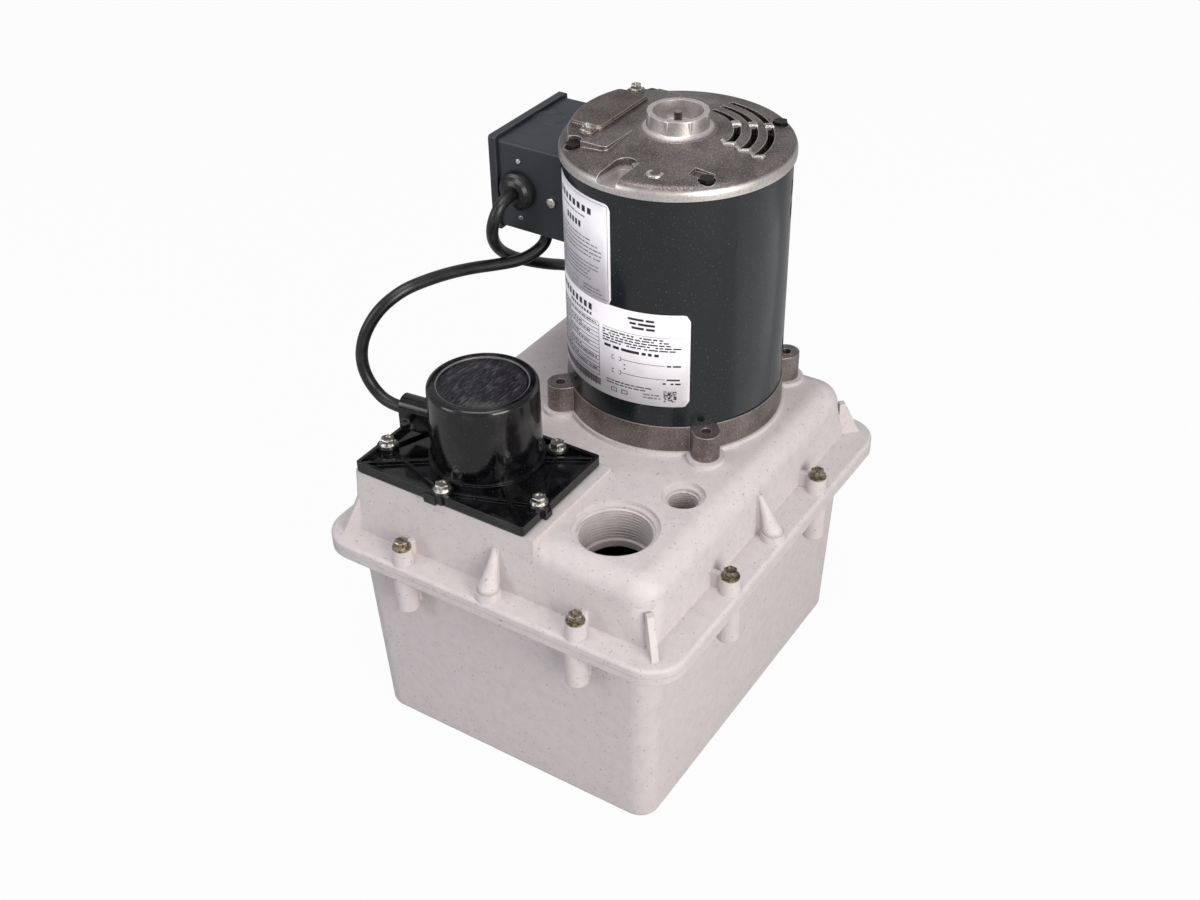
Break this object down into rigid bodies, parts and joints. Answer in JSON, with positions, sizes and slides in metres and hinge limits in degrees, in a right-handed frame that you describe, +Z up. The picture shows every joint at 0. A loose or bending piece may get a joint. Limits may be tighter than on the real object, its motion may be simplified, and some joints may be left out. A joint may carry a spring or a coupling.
{
  "type": "condensate pump",
  "caption": "Automatic condensate pump: moulded tank with ribbed lid, vertical motor driving a submerged centrifugal pump, and a float switch under a round cap.",
  "frame": {"origin": "floor under the middle of the tank", "axes": "+Z up; the float switch and the inlet are at the front, -Y; the junction box faces -X"},
  "size_m": [0.2671, 0.435, 0.404],
  "materials": {
    "tank_grey": "moulded, satin",
    "lid_grey": "moulded, satin",
    "gasket_rubber": "matt",
    "zinc_screw": "zinc plated",
    "dark_screw": "black oxide",
    "cast_bell": "as cast",
    "motor_paint": "gloss enamel",
    "cover_plate": "satin",
    "core_steel": "laminated",
    "copper_wire": "enamelled copper",
    "rotor_metal": "turned",
    "shaft_steel": "ground",
    "fan_plastic": "moulded",
    "bearing_steel": "ground",
    "pump_plastic": "glass filled",
    "bushing_brass": "turned",
    "seal_rubber": "matt",
    "impeller_plastic": "moulded",
    "pipe_plastic": "extruded",
    "switch_black": "polished",
    "float_plastic": "blow moulded",
    "float_brass": "turned",
    "plate_steel": "zinc plated",
    "switch_body": "moulded",
    "box_paint": "satin",
    "gland_black": "moulded",
    "cord_black": "smooth jacket",
    "plug_black": "moulded",
    "pin_brass": "plain"
  },
  "bodies": {
    "pump_body": {"tank": "tank_grey", "lid": "lid_grey", "lid_screws": "zinc_screw", "tank_gasket": "gasket_rubber", "motor_base_bell": "cast_bell", "motor_top_bell": "cast_bell", "motor_shell": "motor_paint", "motor_through_bolts": "dark_screw", "motor_mount_bolts": "zinc_screw", "terminal_cover": "cover_plate", "terminal_cover_screws": "zinc_screw", "stator_core": "core_steel", "stator_windings": "copper_wire", "lower_bearing": "bearing_steel", "upper_bearing": "bearing_steel", "pump_column": "pump_plastic", "column_screws": "zinc_screw", "shaft_bushing": "bushing_brass", "shaft_seal": "seal_rubber", "volute": "pump_plastic", "volute_screws": "zinc_screw", "strainer": "pump_plastic", "discharge_pipe": "pipe_plastic", "switch_gasket": "gasket_rubber", "switch_plate": "switch_black", "switch_screws": "zinc_screw", "switch_cap": "switch_black", "lever_pin": "shaft_steel", "switch_bracket": "plate_steel", "micro_switch": "switch_body", "box_body": "box_paint", "box_cover": "box_paint", "box_screws": "zinc_screw", "power_gland": "gland_black", "power_gland_nut": "zinc_screw", "box_bushing": "gland_black", "power_cord": "cord_black", "switch_cable": "cord_black", "power_cord_coil": "cord_black", "power_cord_tail": "cord_black", "plug": "plug_black", "plug_pins": "pin_brass"},
    "rotor_assembly": {"rotor": "rotor_metal", "motor_shaft": "shaft_steel", "cooling_fan": "fan_plastic", "impeller": "impeller_plastic", "impeller_nut": "float_brass"},
    "float_assembly": {"float_ball": "float_plastic", "float_rod": "float_brass", "float_nuts": "float_brass"},
    "lever": {"switch_lever": "plate_steel"}
  },
  "joints": [
    {"name": "shaft_spin", "type": "hinge", "parent": "pump_body", "child": "rotor_assembly", "pos_m": [0.0171, 0.0549, 0.25], "axis": [0, 0, 1], "continuous": true},
    {"name": "float_lift", "type": "slide", "parent": "pump_body", "child": "float_assembly", "axis": [0, 0, 1], "range_m": [0, 0.02]},
    {"name": "lever_tilt", "type": "hinge", "parent": "pump_body", "child": "lever", "pos_m": [-0.0161, -0.0813, 0.233], "axis": [0, 1, 0], "range_deg": [0, 45.24]}
  ],
  "couplings": [
    {"joint": "lever_tilt", "follows": "float_lift", "rad_per_m": 39.479}
  ]
}
